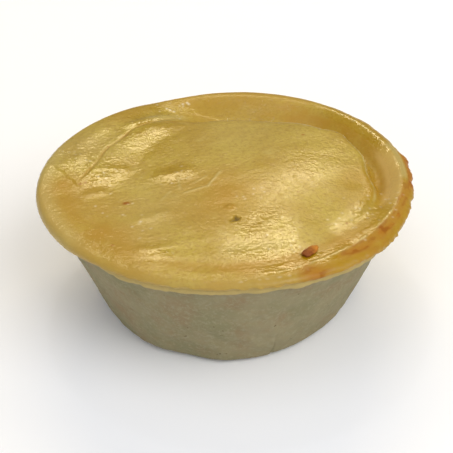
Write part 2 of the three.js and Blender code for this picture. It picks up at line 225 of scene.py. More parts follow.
# Its wall: waves by count, start and height, dents by size, depth and seed, pits, the seam and its baked top,
# which is partly painted light where the lip catches the light
WALL_WAVES = [(3, 40, 0.35), (5, 130, 0.2)]
WALL_NARROWED = (328, 328, 60)
WALL_NARROWING = 1.1
WALL_DENTS = [(17, 0.2, 1), (6, 0.09, 2), (2.4, 0.035, 3)]
PIT_COUNT = 260
PIT_SEED = 4
PIT_SIZES = (0.35, 0.9)
PIT_DEPTH = 0.32
PIT_WIDENING = 1.4
PIT_RADIUS = 44
SEAM_ANGLE = 286
SEAM_STEP = 0.5
SEAM_STEP_LOST = 0.7
SEAM_FADE = 12
SEAM_RADIUS = 40
SEAM_WIDTH = 0.3
SEAM_SWAY = 0.3
SEAM_BENDS = 14
SEAM_GROOVES = [(0.6, (0.02, 0.14)), (0.22, (0.5, 0.8))]
BAKED_AND_LIT_SHARE = 0.85
BAKED_AND_LIT_HEIGHTS = (32.2, 34.2)


def ripples(points, size, seed, run=None, spread=25, waves=48):
    """Seeded random waves of about this size, mostly from -2 to 2. With a run, crests lie along it."""
    draws = np.random.default_rng(seed)
    ways = draws.normal(size=(waves, 3))
    if run is not None:
        heading = np.radians(run + 90 + spread * draws.normal(size=waves))
        ways = np.stack([np.cos(heading), np.sin(heading), np.zeros(waves)], 1)
    ways = ways / np.linalg.norm(ways, axis=1, keepdims=True)
    steps = 2 * np.pi / (size * draws.uniform(0.7, 1.5, waves))
    phases = draws.uniform(0, 2 * np.pi, waves)
    return np.cos(points @ (ways * steps[:, None]).T + phases).sum(1) * math.sqrt(2 / waves)


def relief(points, layers):
    """Ripples in layers: size, height and seed of each, and the run and spread of those that have a run."""
    return sum(height * ripples(points, size, seed, *run) for size, height, seed, *run in layers)


def place(radius, angle, height):
    """Points from their radius, angle and height."""
    radius, angle, height = np.broadcast_arrays(radius, angle, height)
    turn = np.radians(angle)
    return np.stack([radius * np.cos(turn), radius * np.sin(turn), height], -1).astype(float)


def loft(rings):
    """Triangles of a closed skin through rings of points, from the upper middle out and in to the lower.
    Two neighbouring rings may differ in their count of points."""
    faces = []
    start = 0
    tie_break = 0.001
    for ring_a, ring_b in zip(rings[:-1], rings[1:]):
        count_a, count_b = len(ring_a), len(ring_b)
        steps_a = count_a if count_a > 1 else 0
        steps_b = count_b if count_b > 1 else 0
        turns_a = (np.arange(steps_a) + 1 + tie_break) / count_a
        turns_b = (np.arange(steps_b) + 1) / count_b
        on_b = np.concatenate([np.zeros(steps_a, bool), np.ones(steps_b, bool)])
        on_b = on_b[np.argsort(np.concatenate([turns_a, turns_b]), kind="stable")]
        i = np.cumsum(~on_b) - ~on_b
        j = np.cumsum(on_b) - on_b
        first_b = start + count_a
        third = np.where(on_b, first_b + (j + 1) % count_b, start + (i + 1) % count_a)
        faces.append(np.stack([start + i % count_a, first_b + j % count_b, third], 1))
        start = first_b
    return np.concatenate(faces)


def make_piece(name, rings, material, masks):
    """A smooth mesh from rings of points in millimetres, with a value per point for each mask."""
    mesh = bpy.data.meshes.new(name)
    mesh.from_pydata((np.concatenate(rings) * MM).tolist(), [], loft(rings).tolist())
    mesh.polygons.foreach_set("use_smooth", [True] * len(mesh.polygons))
    for mask, values in masks.items():
        mesh.attributes.new(mask, "FLOAT", "POINT").data.foreach_set("value", values.astype(np.float32))
    mesh.materials.append(material)
    mesh.update()
    piece = bpy.data.objects.new(name, mesh)
    bpy.context.scene.collection.objects.link(piece)
    return piece


def lip_shown(angle):
    return along(angle, *LIP_SHOWN)


def lip_radius(angle):
    return smooth_edge(angle) - LIP_HIDDEN_INSET + (LIP_HIDDEN_INSET - LIP_INSET) * lip_shown(angle)


def wall_reach(angle, share):
    """How far the wall stands out from a true cone, at a share of its height."""
    waves = sum(height * np.sin(np.radians(count * angle + start)) for count, start, height in WALL_WAVES)
    narrow = WALL_NARROWING * along(angle, *WALL_NARROWED) * (1 - share * share)
    before_seam = (SEAM_ANGLE - angle) % 360
    return waves - narrow + SEAM_STEP * np.exp(-before_seam / SEAM_FADE) * (1 - SEAM_STEP_LOST * share)


def wall_relief(points, angle, share):
    """Relief of the baked wall: slow dents, small lumps, pits and the seam's groove."""
    height = relief(points, WALL_DENTS)
    draws = np.random.default_rng(PIT_SEED)
    pit_angles = draws.uniform(0, 360, PIT_COUNT)
    pit_shares = draws.uniform(0, 1, PIT_COUNT)
    pit_sizes = draws.uniform(*PIT_SIZES, PIT_COUNT)
    for pit_angle, pit_share, size in zip(pit_angles, pit_shares, pit_sizes):
        across = np.radians((angle - pit_angle + 180) % 360 - 180) * PIT_RADIUS
        away = (across / PIT_WIDENING) ** 2 + ((share - pit_share) * WALL_HEIGHT) ** 2
        height = height - PIT_DEPTH * size * np.exp(-away / size**2)
    across = np.radians(angle - SEAM_ANGLE - SEAM_SWAY * np.sin(SEAM_BENDS * share)) * SEAM_RADIUS
    groove = sum(depth * (1 - ease(share, *run_out)) for depth, run_out in SEAM_GROOVES)
    return height - groove * np.exp(-((across / SEAM_WIDTH) ** 2))


def case_rings():
    angle = np.arange(CASE_POINTS) * 360 / CASE_POINTS
    under = sheet_height(lip_radius(angle) - LIP_JOINT_INSET, angle) - LID_THICKNESS
    thickness = LIP_THICKNESS * (LIP_HIDDEN_SHARE + (1 - LIP_HIDDEN_SHARE) * lip_shown(angle))
    edge = lip_radius(angle) + relief(place(LIP_LINE[0], angle, LIP_LINE[1]), LIP_CRIMPS)
    rings = [place(ON_AXIS, ON_AXIS, FILLING_TOP)]
    for radius in FILLING_RINGS:
        sheet = sheet_height(np.full(CASE_POINTS, float(radius)), angle)
        rings.append(place(radius, angle, sheet - LID_THICKNESS - JOINT_GAP))
    for inset, drop in LIP_ROUND:
        rings.append(place(edge - inset, angle, under - drop * thickness))
    taper = math.atan2(WALL_HEIGHT, WALL_RADIUS - FOOT_RADIUS)
    foot_edge = FOOT_RADIUS + FOOT_ROUND * math.sin(taper)
    foot_top = FOOT_ROUND * (1 - math.cos(taper))
    for share in np.linspace(1, 0, WALL_RINGS):
        cone = foot_edge + (WALL_RADIUS - foot_edge) * share + wall_reach(angle, share)
        flat = place(cone, angle, foot_top + (WALL_HEIGHT - foot_top) * share)
        rings.append(flat + place(wall_relief(flat, angle, share), angle, 0))
    for turn in np.linspace(taper, 0, FOOT_RINGS)[1:]:
        radius = FOOT_RADIUS + FOOT_ROUND * math.sin(turn) + wall_reach(angle, 0)
        flat = place(radius, angle, FOOT_ROUND * (1 - math.cos(turn)))
        rings.append(flat + place(wall_relief(flat, angle, 0.0) * turn / taper, angle, 0))
    rings.append(place(FOOT_RADIUS * BASE_RING, angle[::6], 0))
    rings.append(place(ON_AXIS, ON_AXIS, 0))
    return rings


def colour(red, green, blue):
    """A colour from its everyday 0 to 255 values."""
    parts = [v / 255 for v in (red, green, blue)]
    return [v / 12.92 if v <= 0.04045 else ((v + 0.055) / 1.055) ** 2.4 for v in parts] + [1.0]


def new_material(name):
    material = bpy.data.materials.new(name)
    material.use_nodes = True
    return material, material.node_tree, material.node_tree.nodes["Principled BSDF"]


def set_inputs(node, values):
    for name, value in values.items():
        node.inputs[name].default_value = value


def noise(tree, size, detail=4.0, roughness=0.6, distortion=0.0):
    """Grey clouds about this many millimetres across, fixed to the piece."""
    clouds = tree.nodes.new("ShaderNodeTexNoise")
    scale = 1 / (size * MM)
    set_inputs(clouds, {"Scale": scale, "Detail": detail, "Roughness": roughness, "Distortion": distortion})
    where = tree.nodes.new("ShaderNodeTexCoord")
    tree.links.new(where.outputs["Object"], clouds.inputs["Vector"])
    return clouds.outputs["Fac"]


def mask_value(tree, name):
    mask = tree.nodes.new("ShaderNodeAttribute")
    mask.attribute_name = name
    return mask.outputs["Fac"]


def window(tree, value, low, high, bottom=0.0, top=1.0):
    """A value stretched from low..high to bottom..top, with soft ends."""
    stretched = tree.nodes.new("ShaderNodeMapRange")
    stretched.interpolation_type = "SMOOTHSTEP"
    set_inputs(stretched, {"From Min": low, "From Max": high, "To Min": bottom, "To Max": top})
    tree.links.new(value, stretched.inputs["Value"])
    return stretched.outputs["Result"]


def arithmetic(tree, operation, a, b):
    result = tree.nodes.new("ShaderNodeMath")
    result.operation = operation
    for value, socket in zip((a, b), result.inputs):
        if isinstance(value, (int, float)):
            socket.default_value = value
        else:
            tree.links.new(value, socket)
    return result.outputs["Value"]


def blend_colours(tree, share, under, over):
    """over laid on under by a share. Either may be a colour or another node's output."""
    mix = tree.nodes.new("ShaderNodeMix")
    mix.data_type = "RGBA"
    tree.links.new(share, mix.inputs[0])
    for value, socket in zip((under, over), (mix.inputs[6], mix.inputs[7])):
        if isinstance(value, list):
            socket.default_value = value
        else:
            tree.links.new(value, socket)
    return mix.outputs[2]


def add_bump(tree, height, depth, under=None):
    """Fine relief of this depth in millimetres, over an earlier one."""
    fine = tree.nodes.new("ShaderNodeBump")
    set_inputs(fine, {"Strength": 1.0, "Distance": depth * MM})
    tree.links.new(height, fine.inputs["Height"])
    if under is not None:
        tree.links.new(under, fine.inputs["Normal"])
    return fine.outputs["Normal"]


def plain_pastry():
    """Matt baked shortcrust: grey-beige, mottled pinkish and greenish, with a floury grain, and golden
    towards the lip, partly as painted light.
    """
    material, tree, shader = new_material("plain_pastry")
    clouds = window(tree, noise(tree, size=16, detail=3), 0.35, 0.65)
    base = blend_colours(tree, clouds, colour(129, 123, 90), colour(142, 132, 100))
    blush = window(tree, noise(tree, size=9, detail=5), 0.42, 0.8)
    pink = blend_colours(tree, blush, base, colour(137, 116, 85))
    flour = window(tree, noise(tree, size=1.2, detail=4, roughness=0.7), 0.45, 0.75)
    grain = blend_colours(tree, flour, pink, colour(148, 141, 112))
    bran = window(tree, noise(tree, size=1.8, detail=2), 0.70, 0.78)
    specks = blend_colours(tree, bran, grain, colour(100, 84, 52))
    # The lip's golden band: baked colour, lightened as painted light where the lip catches the light
    golden = blend_colours(tree, mask_value(tree, "baked_and_painted_light"), specks, colour(180, 157, 95))
    tree.links.new(golden, shader.inputs["Base Color"])
    crumb = add_bump(tree, noise(tree, size=0.5, detail=5, roughness=0.7), depth=0.08)
    lumps = add_bump(tree, noise(tree, size=2.2, detail=4), depth=0.12, under=crumb)
    tree.links.new(lumps, shader.inputs["Normal"])
    set_inputs(shader, {"Roughness": 0.78, "Specular IOR Level": 0.25})
    return material


def make_case():
    """The case, baked golden towards its lip and painted lighter there as painted light where the lip catches
    it.
    """
    rings = case_rings()
    baked_and_painted_light = BAKED_AND_LIT_SHARE * ease(np.concatenate(rings)[:, 2], *BAKED_AND_LIT_HEIGHTS)
    return make_piece("pastry_case_skin", rings, plain_pastry(), {"baked_and_painted_light": baked_and_painted_light})


case = make_case()
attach(case, "root")
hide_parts("pastry_case")

# The lid: the sheet above, brushed with egg and baked to an uneven golden gloss. Its edge is rolled under on
# the left, where it hides the lip, and burst into brown flakes on the right. The glaze dried to a crinkled
# film, with a crease and folds on the left, pinholes and one steam tear.
LID_SPACING = 0.34
ROLL_WIDTH = 1.9
ROLL_HEIGHT = 0.9
ROLL_RINGS = 9
HEM_DROOP = 1.2
HEM_ROUND = 0.9
HEM_RINGS = 8
HEM_LEDGE = 0.3
HEM_TAPER = 0.1
HEM_LIP_GAP = 0.2
HEM_STRATA = [(3, 0.12, 31)]
UNDERSIDE_RINGS = [(47.5, 2), (44.5, 2), (41, 4), (34, 4), (20, 8)]

# Its flaky edge: layers by their size, depth and seed, and one chip that stands out
FLAKES = [(9, 0.13, 11), (3, 0.08, 12), (1.3, 0.06, 13)]
FLAKY = (-50, 35, 15)
FLAKE_SHARE_ELSEWHERE = 0.25
FLAKE_INWARD_FADE = 12
CHIP = (6, 9, 2)
CHIP_REACH = 0.5


def flakes(angle):
    """Ragged edge, deep at the right and hardly seen elsewhere."""
    depth = FLAKE_SHARE_ELSEWHERE + (1 - FLAKE_SHARE_ELSEWHERE) * along(angle, *FLAKY)
    return depth * relief(place(LID_RADIUS, angle, 0), FLAKES) + CHIP_REACH * along(angle, *CHIP)


def near(value, line, width):
    """1 on a line, fading to 0 on both sides."""
    return np.exp(-(((value - line) / width) ** 2))


def in_line(x, y, middle, heading):
    """Distances along and across a line that runs through a middle."""
    cos, sin = math.cos(math.radians(heading)), math.sin(math.radians(heading))
    lengthwise = (x - middle[0]) * cos + (y - middle[1]) * sin
    across = (y - middle[1]) * cos - (x - middle[0]) * sin
    return lengthwise, across


def streak(x, y, middle, heading, length, width, height):
    """A soft ridge or stroke."""
    lengthwise, across = in_line(x, y, middle, heading)
    return height * (1 - ease(np.abs(lengthwise), length / 4, length / 2)) * near(across, 0, width)


def streaks(x, y, lines):
    """Several of them: middle, heading, length, width and height of each."""
    return sum(streak(x, y, *line) for line in lines)


def band(radius, start, full, fading=None, end=None):
    """0 inside one radius and 1 from the next. With two more, it falls to 0 again between them."""
    risen = ease(radius, start, full)
    return risen if end is None else risen * (1 - ease(radius, fading, end))


def rim_bands(radius, angle, bands):
    """Bands round the lid: the radii, the stretch of the rim and the strength of each."""
    return sum(strength * band(radius, *radii) * along(angle, *stretch) for radii, stretch, strength in bands)


# The crease, where the pressed ring narrows to a thin fold that turns out to the left
CREASED = (122, 176, 12)
CREASE_RADIUS = 38.0
CREASE_TURN = (163, 185)
CREASE_OUTWARDS = 3.6
CREASE_SWAY = 0.5
CREASE_SWAYS = 14
CREASE_DEPTH = 0.25
CREASE_DIP = 0.1
CREASE_DIPS = 23
CREASE_WIDTH = 0.5


def crease_depth(radius, angle):
    line = CREASE_RADIUS + CREASE_OUTWARDS * ease(angle, *CREASE_TURN)
    line = line + CREASE_SWAY * np.sin(np.radians(angle * CREASE_SWAYS))
    depth = CREASE_DEPTH + CREASE_DIP * np.sin(np.radians(angle * CREASE_DIPS))
    return depth * along(angle, *CREASED) * near(radius, line, CREASE_WIDTH)


# The raised left end of the pressed rim, which stops at a sharp folded edge
FLANGE_EDGE = (-46.35, 0.4)
FLANGE_INWARD = (0.786, 0.618)
FLANGE_HEIGHT = 0.32
FLANGE_STEP = (-0.4, 1.0)
FLANGE_FADE = 7
FLANGE_ENDS = (5, 9)
FLANGE_SWAY = 0.25
FLANGE_SWAYS = 1.3


def flange_height(x, y):
    right, back = x - FLANGE_EDGE[0], y - FLANGE_EDGE[1]
    inward = right * FLANGE_INWARD[0] + back * FLANGE_INWARD[1]
    sideways = right * FLANGE_INWARD[1] - back * FLANGE_INWARD[0]
    step = ease(inward + FLANGE_SWAY * np.sin(sideways * FLANGE_SWAYS), *FLANGE_STEP)
    step = step * np.exp(-np.clip(inward, 0, None) / FLANGE_FADE)
    return FLANGE_HEIGHT * step * (1 - ease(np.abs(sideways), *FLANGE_ENDS))


# The tear: three short slits that meet where steam got out, by their heading and length
TEAR = (2.2, -26.0)
TEAR_SLITS = [(20, 1.3), (105, 1.7), (212, 2.3)]
TEAR_DEPTH = 0.9
SLIT_WIDTH = 0.55
SLIT_TIP_WIDTH = 0.05
SLIT_OVERLAP = 0.3


def tear_share(x, y):
    torn = np.zeros_like(x)
    for heading, length in TEAR_SLITS:
        lengthwise, across = in_line(x, y, TEAR, heading)
        half = SLIT_WIDTH * (1 - np.clip(lengthwise / length, 0, 1)) + SLIT_TIP_WIDTH
        inside = (lengthwise > -SLIT_OVERLAP) & (lengthwise < length)
        torn = np.maximum(torn, inside * near(across, 0, half))
    return torn


# The dried glaze: a crumpled film on the left, and fine wrinkles, deeper where the lid slopes
CRUMPLED_PATCHES = [((-45, 5), 8, 1.0), ((-41, 20), 9, 0.9), ((-34, 1), 5, 0.8), ((-15, 41), 5, 0.8)]
CRUMPLED_STREAKS = [((-23, 31), 33, 34, 3.5, 1.0)]
CRUMPLES = [(2.2, 0.034, 21), (1.3, 0.03, 27)]
CRUMPLES_SUNK = 0.05
WRINKLED_PATCHES = [
    ((-18, -38), 7, 1.0),
    ((-15, -3), 6, 1.0),
    ((33, -26), 7, 1.9),
    ((12, -34), 9, 0.75),
    ((-24, 18), 7, 0.5),
    ((18, -6), 11, 0.6),
]
WRINKLED_RANGE = (0.4, 1.6)
WRINKLES = [(6, 0.009, 22, 25, 30), (2.2, 0.006, 26, 20, 35), (1.3, 0.006, 24, 20, 50)]
WRINKLES_LOST = 0.6
WRINKLES_LOST_RADII = (42.5, 44.5)
FILM_WAVES = [(8, 0.018, 23, 15, 40)]


def crinkle(points):
    x, y = points[:, 0], points[:, 1]
    crumpled = bumps(x, y, CRUMPLED_PATCHES) + streaks(x, y, CRUMPLED_STREAKS)
    crumples = sum(height * np.abs(ripples(points, size, seed)) for size, height, seed in CRUMPLES)
    wrinkled = np.clip(bumps(x, y, WRINKLED_PATCHES), *WRINKLED_RANGE)
    wrinkled = wrinkled * (1 - WRINKLES_LOST * ease(np.hypot(x, y), *WRINKLES_LOST_RADII))
    film = (crumples - CRUMPLES_SUNK) * np.clip(crumpled, 0, 1) + relief(points, FILM_WAVES)
    return film + relief(points, WRINKLES) * wrinkled


# Faint grooves where the front of the rim was pressed, and wrinkles across it at the right
PRESS_LINES = (46.4, 48.6, 50.4)
PRESSED = (272, 318, 14)
PRESS_WIDTH = 0.35
PRESS_DEPTH = 0.03
PRESS_UNEVEN = [(9, 1.0, 28)]
PRESS_UNEVEN_RANGE = (-0.8, 0.8)
CROSS_WRINKLES = [((44, 45.5, 48, 49.5), (-26, -10, 8), 0.03)]
CROSS_COUNT = 55
CROSS_SLANT = 0.5
CROSS_UNEVEN = [(5, 1.0, 25)]


def press_depth(radius, angle):
    points = place(radius, angle, 0)
    lines = sum(near(radius, line, PRESS_WIDTH) for line in PRESS_LINES)
    uneven = ease(relief(points, PRESS_UNEVEN), *PRESS_UNEVEN_RANGE)
    across = np.sin(np.radians(angle * CROSS_COUNT) + CROSS_SLANT * radius) * relief(points, CROSS_UNEVEN)
    wrinkles = across * rim_bands(radius, angle, CROSS_WRINKLES)
    return PRESS_DEPTH * lines * uneven * along(angle, *PRESSED) + wrinkles


# Thin beads of glaze that gathered along the right edge of the filling and along the rim's crest
EDGE_BEADED = (-22, 12, 6)
EDGE_BEAD_INSET = 1.1
EDGE_BEAD_WIDTH = 0.35
CREST_BEADED = (-72, 40, 12)
CREST_BEAD_INSET = 0.2
CREST_BEAD_WIDTH = 0.45
CREST_BEAD_SHARE = 0.9
GLAZE_BEAD_HEIGHT = 0.1
GLAZE_BEAD_SHARE = 0.6
GLAZE_BEAD_UNEVEN = [(2.5, 0.4, 29)]
GLAZE_BEAD_RANGE = (0, 1.4)


def glaze_beads(radius, angle):
    uneven = GLAZE_BEAD_SHARE + relief(place(radius, angle, 0), GLAZE_BEAD_UNEVEN)
    edge = along(angle, *EDGE_BEADED) * near(radius, filling_edge(angle) - EDGE_BEAD_INSET, EDGE_BEAD_WIDTH)
    crest = along(angle, *CREST_BEADED) * near(radius, crest_line(angle) - CREST_BEAD_INSET, CREST_BEAD_WIDTH)
    return (edge + CREST_BEAD_SHARE * crest) * np.clip(uneven, *GLAZE_BEAD_RANGE)


# The lid's upper face, with its folds, lines in the film, beads of egg, a blister and a lumpy front rim
FOLDS = [
    ((-34, 2.5), 178, 16, 2.6, 0.35),
    ((-15, -0.5), 8, 15, 3.0, 0.3),
    ((-37, -8.5), 20, 9, 2.0, 0.25),
    ((-20, -21.5), 20, 13, 2.2, 0.25),
    ((-43, 14), 95, 16, 2.4, 0.35),
    ((-39, 24), 55, 13, 2.2, 0.3),
    ((-24, 32), 33, 22, 1.6, 0.4),
    ((-19, -37.5), 0, 14, 2.5, 0.3),
]
FILM_LINES = [
    ((-3.7, -6.2), 62, 11, 0.45, 0.09),
    ((-13.5, -6.2), 95, 9, 0.4, 0.06),
    ((-9.0, -10.5), 20, 9, 0.4, 0.07),
    ((-7.5, -5.5), 38, 7, 0.35, 0.06),
    ((-17.0, -12.0), 60, 7, 0.4, 0.05),
]
BEADS = [(-18.4, 41.0), (-17.3, 40.4), (-16.1, 39.9), (-12.0, 45.0), (-11.5, 44.4), (-13.4, 44.2)]
BEAD_SPREAD = 0.4
BEAD_HEIGHT = 0.12
BLISTER = (0.4, -20.4)
BLISTER_SPREAD = 0.7
BLISTER_HEIGHT = 0.4
RIM_LUMPS = [(7, 0.05, 32), (2.2, 0.015, 33)]
LUMPY_RIM = [((47, 50), (190, 305, 20), 1.0)]
FRONT_ROLL = (262, 298, 10)
FRONT_ROLL_RADIUS = 42.8
FRONT_ROLL_WIDTH = 1.6
FRONT_ROLL_HEIGHT = 0.1


def lid_top(radius, angle):
    points = place(radius, angle, 0)
    x, y = points[:, 0], points[:, 1]
    height = sheet_height(radius, angle) - crease_depth(radius, angle) - press_depth(radius, angle)
    height = height + streaks(x, y, FOLDS) + streaks(x, y, FILM_LINES) + crinkle(points)
    height = height + GLAZE_BEAD_HEIGHT * glaze_beads(radius, angle)
    height = height + sum(bump(x, y, bead, BEAD_SPREAD, BEAD_HEIGHT) for bead in BEADS)
    height = height + relief(points, RIM_LUMPS) * rim_bands(radius, angle, LUMPY_RIM)
    roll = along(angle, *FRONT_ROLL) * near(radius, FRONT_ROLL_RADIUS, FRONT_ROLL_WIDTH)
    height = height + FRONT_ROLL_HEIGHT * roll + flange_height(x, y)
    return height + bump(x, y, BLISTER, BLISTER_SPREAD, BLISTER_HEIGHT) - TEAR_DEPTH * tear_share(x, y)


def lid_rings():
    """Upper face, rounded edge, hem that hangs over the lip where it covers it, and underside."""
    rings = [place(ON_AXIS, ON_AXIS, lid_top(ON_AXIS, ON_AXIS))]
    ring_count = round((LID_RADIUS - ROLL_WIDTH) / LID_SPACING)
    for k in range(1, ring_count + 1):
        share = k / ring_count
        count = 6 * max(1, round(2 * math.pi * share * LID_RADIUS / LID_SPACING / 6))
        angle = np.arange(count) * 360 / count
        radius = share * (smooth_edge(angle) - ROLL_WIDTH) + flakes(angle) * share**FLAKE_INWARD_FADE
        rings.append(place(radius, angle, lid_top(radius, angle)))
    edge = smooth_edge(angle) + flakes(angle)
    hidden = (1 - lip_shown(angle)) ** 2
    roll = ROLL_HEIGHT * (1 + hidden)
    for turn in np.radians(np.linspace(0, 90, ROLL_RINGS)[1:]):
        radius = edge - ROLL_WIDTH * (1 - math.sin(turn))
        rings.append(place(radius, angle, lid_top(radius, angle) - roll * (1 - math.cos(turn))))
    hem = sheet_height(edge, angle) - LID_THICKNESS - HEM_DROOP * hidden
    rolled = lid_top(edge, angle) - roll
    for turn in np.radians(np.linspace(0, 90, HEM_RINGS)[1:]):
        radius = edge - HEM_ROUND * (1 - math.cos(turn))
        flat = place(radius, angle, rolled + (hem - rolled) * math.sin(turn))
        strata = relief(flat * (1, 1, 3), HEM_STRATA) * (1 - hidden)
        rings.append(flat + place(strata, angle, 0))
    inside = np.minimum(lip_radius(angle) + HEM_LIP_GAP, edge - HEM_ROUND - HEM_LEDGE)
    rings.append(place(inside, angle, hem))
    rings.append(place(inside - HEM_TAPER, angle, sheet_height(inside, angle) - LID_THICKNESS))
    for radius, every in UNDERSIDE_RINGS:
        under = angle[::every]
        sheet = sheet_height(np.full(len(under), float(radius)), under)
        rings.append(place(radius, under, sheet - LID_THICKNESS))
    rings.append(place(ON_AXIS, ON_AXIS, sheet_height(ON_AXIS, ON_AXIS) - LID_THICKNESS))
    return rings


def glazed_pastry():
    """Egg-glazed crust: golden, amber where the glaze is thick, browned at the rim, with a crinkled gloss.
    Painted shade darkens the groove, crease and roll; painted highlights, glints and a reflection lighten it.
    """
    material, tree, shader = new_material("glazed_pastry")
    clouds = window(tree, noise(tree, size=20, detail=4), 0.38, 0.62)
    base = blend_colours(tree, clouds, colour(174, 150, 50), colour(162, 131, 20))
    light = window(tree, noise(tree, size=5, detail=5), 0.5, 0.8)
    mottle = blend_colours(tree, light, base, colour(176, 154, 68))
    grain = window(tree, noise(tree, size=1.1, detail=3), 0.42, 0.72, 0.0, 0.8)
    mottle = blend_colours(tree, grain, mottle, colour(147, 115, 10))
    uneven = window(tree, noise(tree, size=9, detail=5), 0.25, 0.6, 0.35, 1.0)
    # Amber glaze, darker as painted shade in the groove, along the crease and on the lower side of the front
    # rim's roll
    patchy = arithmetic(tree, "MULTIPLY", mask_value(tree, "amber_and_shade"), uneven)
    amber_and_shade = blend_colours(tree, patchy, mottle, colour(164, 124, 6))
    orange = blend_colours(tree, mask_value(tree, "browned"), amber_and_shade, colour(162, 106, 0))
    # Pale thin glaze, and painted highlights on the streaks, the left rim, the right crest and the beads
    pale_and_highlight = blend_colours(tree, mask_value(tree, "pale_and_highlight"), orange, colour(184, 165, 100))
    # A painted reflection on the inner slope of the right rim
    painted_reflection = blend_colours(tree, mask_value(tree, "painted_reflection"), pale_and_highlight, colour(214, 182, 110))
    dark = blend_colours(tree, mask_value(tree, "torn"), painted_reflection, colour(112, 90, 44))
    # Burnt flecks and strokes, and painted shade in the crease
    flecked = blend_colours(tree, mask_value(tree, "burnt_and_shade"), dark, colour(144, 86, 0))
    # Painted glints and sparkles
    bright = blend_colours(tree, mask_value(tree, "painted_glint"), flecked, colour(232, 224, 200))
    tree.links.new(bright, shader.inputs["Base Color"])
    matt = arithmetic(tree, "MULTIPLY", window(tree, noise(tree, size=3, detail=5), 0.35, 0.7), 0.1)
    rough = arithmetic(tree, "ADD", window(tree, mask_value(tree, "gloss"), 0.0, 1.0, 0.5, 0.12), matt)
    dry = arithmetic(tree, "ADD", mask_value(tree, "browned"), mask_value(tree, "burnt_and_shade"))
    rough = arithmetic(tree, "ADD", rough, arithmetic(tree, "MULTIPLY", dry, 0.4))
    tree.links.new(rough, shader.inputs["Roughness"])
    film = add_bump(tree, noise(tree, size=0.9, detail=2, roughness=0.5), depth=0.09)
    folds = noise(tree, size=1.9, detail=3, roughness=0.5, distortion=0.8)
    crinkled = add_bump(tree, folds, depth=0.08, under=film)
    tree.links.new(crinkled, shader.inputs["Normal"])
    tree.links.new(crinkled, shader.inputs["Coat Normal"])
    set_inputs(shader, {"Specular IOR Level": 0.4, "Coat Weight": 0.2})
    set_inputs(shader, {"Coat Roughness": 0.12, "Coat IOR": 1.45})
    return material


# The line where the filled middle drops into the groove at the back
BACK_EDGE = (34, 116, 10)
BACK_EDGE_INSET = 0.3
BACK_EDGE_WIDTH = 0.6


def back_edge(radius, angle):
    return along(angle, *BACK_EDGE) * near(radius, filling_edge(angle) - BACK_EDGE_INSET, BACK_EDGE_WIDTH)


# Where the glaze lies thick: in patches, along the crease, round the blister, in the groove and on the rim,
# with painted shade darkening the groove, the crease and the lower side of the front rim's roll
AMBER_PATCHES = [
    ((-29, -29), 7, 0.9),
    ((-1, -14), 8, 1.0),
    ((-40, -14), 8, 0.45),
    ((38, -9), 4, 0.7),
    ((-49, -4), 4, 0.8),
]
# The first three bands lie in the groove: pooled glaze, darkened as painted shade
AMBER_AND_SHADE_BANDS = [
    ((42, 47), (-70, 40, 30), 0.6),
    ((42, 47), (70, 130, 20), 0.25),
    ((39.6, 41.5, 45, 48), (-15, 60, 20), 0.7),
    ((27.5, 29.5), (62, 108, 10), 0.35),
    ((40, 46), (200, 300, 30), 0.35),
    ((43.6, 44.8, 47, 49), (258, 300, 14), 0.5),
]
# Down the front rim's roll: its amber colour, darker on the roll's lower side as painted shade
AMBER_AND_SHADE_EDGE = [((50, 52.4), (195, 305, 20), 1.0)]
AMBER_EDGE_LEAST = 0.4
AMBER_EDGE_MORE = 0.15
AMBER_UNEVEN = [(9, 1.0, 54), (3, 0.5, 55)]
AMBER_UNEVEN_RANGE = (-1.5, 1.5)
# The crease's darker amber line is painted shade
AMBER_CREASE_SHADE = 2.5
AMBER_HALO_RADIUS = 1.2
AMBER_HALO_WIDTH = 0.4
AMBER_HALO = 0.8


def amber_and_shade_share(points, radius, angle):
    x, y = points[:, 0], points[:, 1]
    amber_and_shade = bumps(x, y, AMBER_PATCHES) + rim_bands(radius, angle, AMBER_AND_SHADE_BANDS)
    amber_and_shade = amber_and_shade + AMBER_CREASE_SHADE * crease_depth(radius, angle) + back_edge(radius, angle)
    from_blister = np.hypot(x - BLISTER[0], y - BLISTER[1])
    amber_and_shade = amber_and_shade + AMBER_HALO * near(from_blister, AMBER_HALO_RADIUS, AMBER_HALO_WIDTH)
    uneven = ease(relief(points, AMBER_UNEVEN), *AMBER_UNEVEN_RANGE)
    return amber_and_shade + (AMBER_EDGE_LEAST + AMBER_EDGE_MORE * uneven) * rim_bands(radius, angle, AMBER_AND_SHADE_EDGE)


# Where the oven caught the rim: a streaked band at the right, the flaky edge there and a spot at the front
BROWNED = (-50, -14, 10)
BROWNED_FROM = (48.9, 49.9)
BROWNED_TO = (51.4, 52.6)
BROWNED_SHARE_BEYOND = 0.2
BROWNED_LEAST = 0.5
BROWNED_UNEVEN = [(4, 1.0, 51), (1.5, 0.6, 52)]
BROWNED_UNEVEN_RANGE = (-0.6, 0.9)
BROWNED_FLAKES = [((51.2, 52.0), (-8, 8, 6), 1.0)]
BROWNED_SPOTS = [((21.3, -48.9), 2.4, 0.9)]
UNROLLED_RADIUS = 18


def unrolled(radius, angle):
    """The rim laid out straight and shortened, so that ripples on it run along it."""
    return np.stack([np.radians(angle) * UNROLLED_RADIUS, radius, 0 * radius], 1)


def browned_share(points, radius, angle):
    uneven = ease(relief(unrolled(radius, angle), BROWNED_UNEVEN), *BROWNED_UNEVEN_RANGE)
    caught = ease(radius, *BROWNED_FROM) * (1 - (1 - BROWNED_SHARE_BEYOND) * ease(radius, *BROWNED_TO))
    browned = along(angle, *BROWNED) * caught * (BROWNED_LEAST + (1 - BROWNED_LEAST) * uneven)
    browned = browned + rim_bands(radius, angle, BROWNED_FLAKES)
    return browned + bumps(points[:, 0], points[:, 1], BROWNED_SPOTS)


